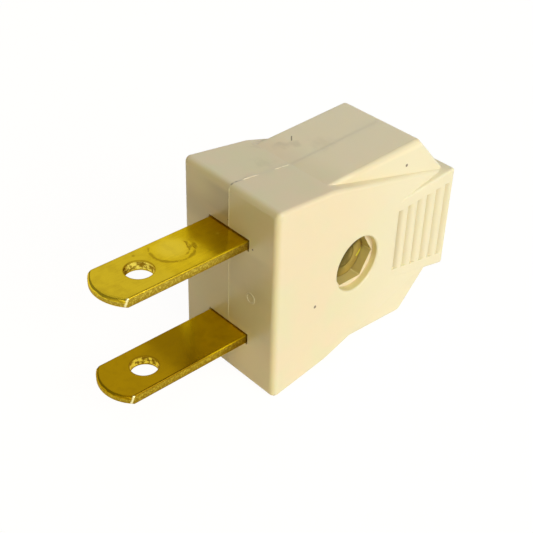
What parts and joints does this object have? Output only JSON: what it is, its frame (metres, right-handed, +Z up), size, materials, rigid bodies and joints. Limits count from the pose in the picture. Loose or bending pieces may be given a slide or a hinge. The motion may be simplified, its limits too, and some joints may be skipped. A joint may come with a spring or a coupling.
{
  "type": "flat two-pin plug",
  "caption": "Flat-blade mains plug: a moulded ivory case that splits into halves held by a screw and nut, ribbed finger grips, a cord entry and flat brass blades with holes.",
  "frame": {"origin": "middle of the mating face, on the parting plane of the case, midway between the blades", "axes": "-Y the way the blades enter a socket, +Y towards the cord entry, +X towards the shell with the nut, +Z up with the plug on its narrow side"},
  "size_m": [0.0154, 0.0459, 0.0246],
  "materials": {
    "case": "ivory moulded thermoset, glossy, a little yellowed",
    "blades": "rolled brass strip, sheared edges, light rub marks",
    "screws": "turned brass",
    "nut": "turned brass"
  },
  "bodies": {
    "root": {"nut_half_shell": "case", "screw_half_shell": "case", "upper_blade": "blades", "lower_blade": "blades", "terminal_screws": "screws", "case_screw": "screws", "case_nut": "nut"}
  },
  "joints": []
}
